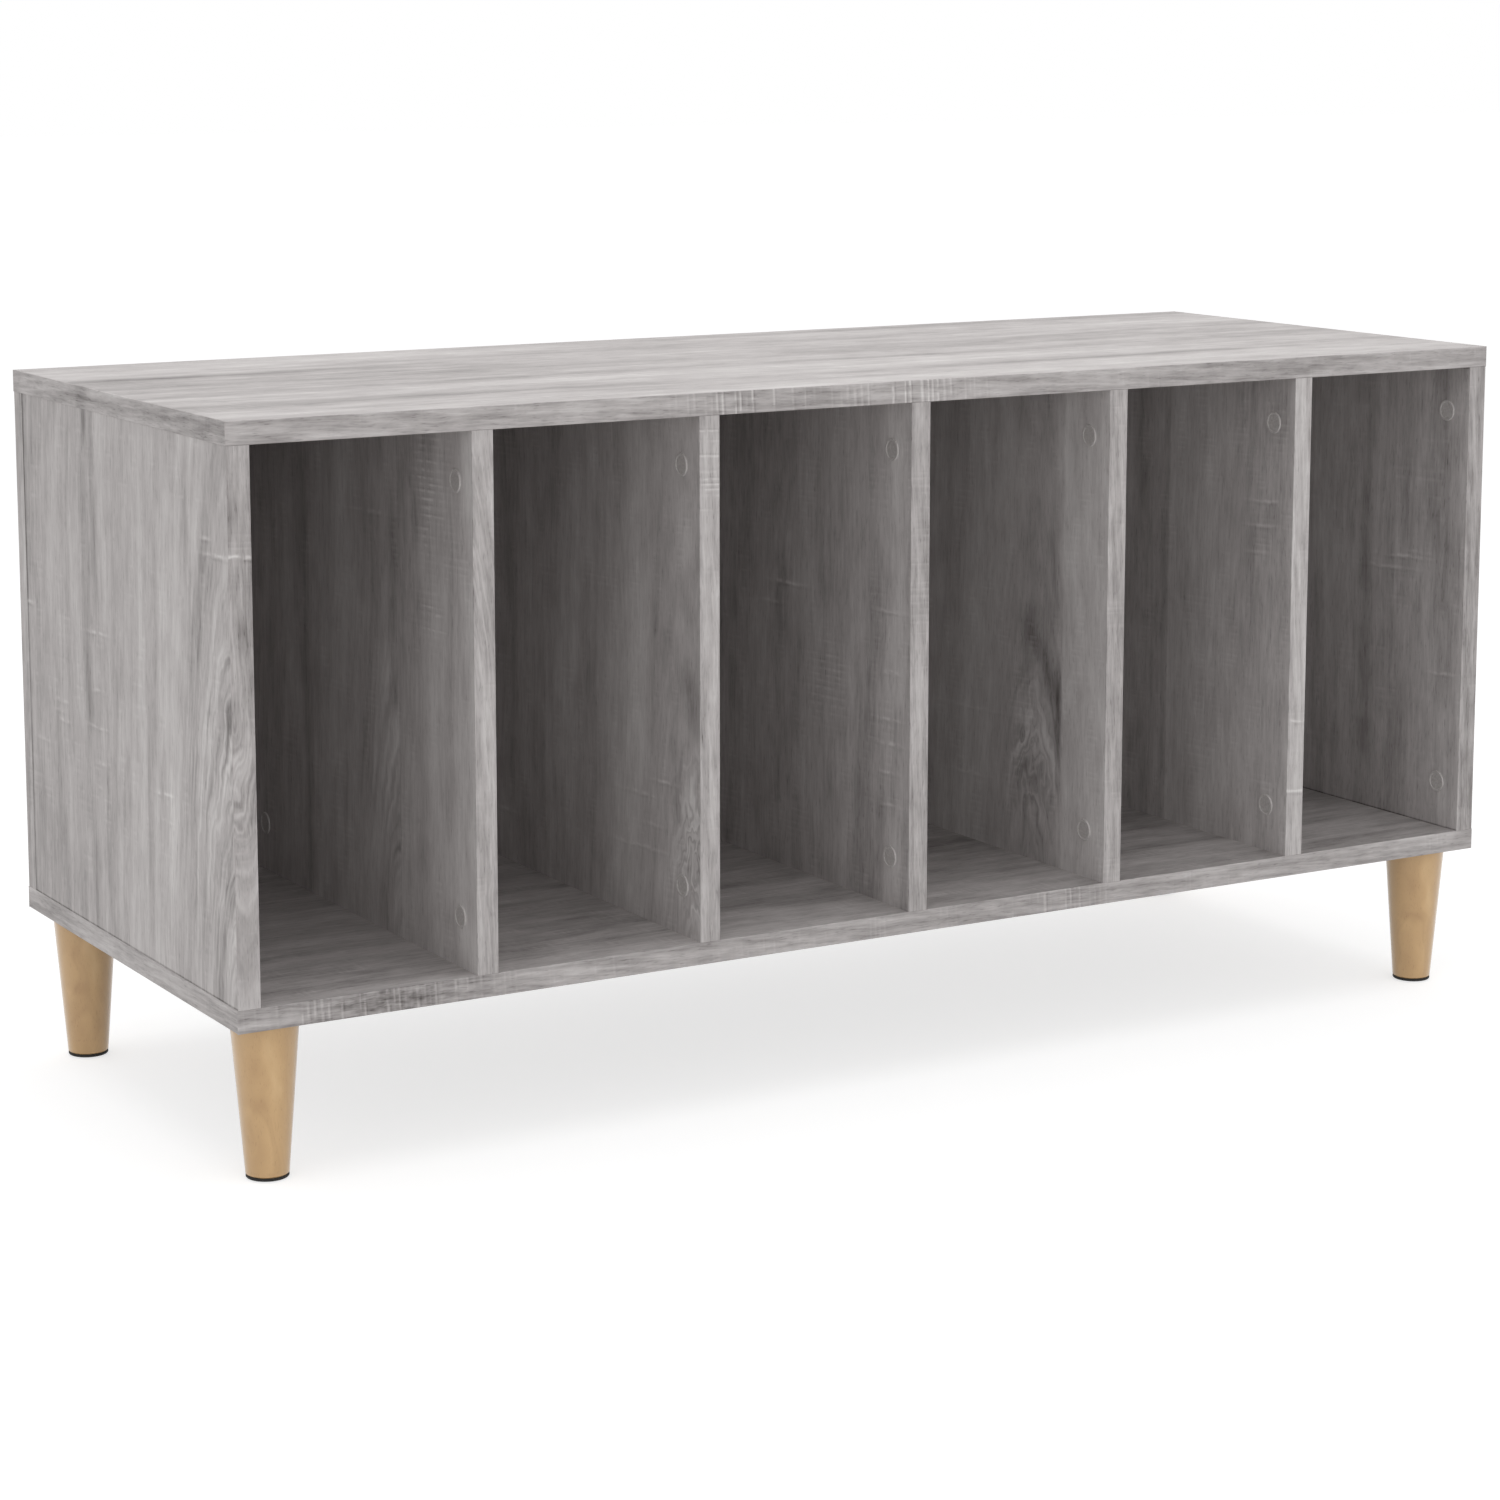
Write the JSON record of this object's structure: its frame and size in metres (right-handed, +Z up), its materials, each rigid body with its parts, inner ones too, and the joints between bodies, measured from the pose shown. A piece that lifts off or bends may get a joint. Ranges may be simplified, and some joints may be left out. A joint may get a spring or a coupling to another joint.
{
  "type": "record cabinet",
  "caption": "Low record cabinet of grey oak-print board: upright dividers make narrow bays, open to the front, for record sleeves; it stands on tapered light-wood legs.",
  "frame": {"origin": "centre of the cabinet's outline on the floor, at the underside of the glides", "axes": "+X along the front, to the right of someone facing it; +Y from the front to the back; +Z up"},
  "size_m": [1, 0.38, 0.483],
  "materials": {
    "board_print": "matt grey oak print",
    "edge_band": "matt grey oak print",
    "leg_wood": "satin lacquer",
    "glide_plastic": "matt",
    "cover_plastic": "satin",
    "fitting_steel": "zinc plated",
    "dowel_wood": "raw beech"
  },
  "bodies": {
    "root": {"back_left_band": "edge_band", "back_panel": "board_print", "back_right_band": "edge_band", "back_screws": "fitting_steel", "bottom_back_band": "edge_band", "bottom_front_band": "edge_band", "bottom_left_band": "edge_band", "bottom_panel": "board_print", "bottom_right_band": "edge_band", "cam_bolts": "fitting_steel", "cam_covers": "cover_plastic", "cam_locks": "fitting_steel", "divider_1_front_band": "edge_band", "divider_1_panel": "board_print", "divider_2_front_band": "edge_band", "divider_2_panel": "board_print", "divider_3_front_band": "edge_band", "divider_3_panel": "board_print", "divider_4_front_band": "edge_band", "divider_4_panel": "board_print", "divider_5_front_band": "edge_band", "divider_5_panel": "board_print", "dowels": "dowel_wood", "front_left_glide": "glide_plastic", "front_left_leg": "leg_wood", "front_right_glide": "glide_plastic", "front_right_leg": "leg_wood", "glide_nails": "fitting_steel", "left_side_front_band": "edge_band", "left_side_panel": "board_print", "leg_inserts": "fitting_steel", "leg_studs": "fitting_steel", "rear_left_glide": "glide_plastic", "rear_left_leg": "leg_wood", "rear_right_glide": "glide_plastic", "rear_right_leg": "leg_wood", "right_side_front_band": "edge_band", "right_side_panel": "board_print", "top_back_band": "edge_band", "top_front_band": "edge_band", "top_left_band": "edge_band", "top_panel": "board_print", "top_right_band": "edge_band"}
  },
  "joints": []
}
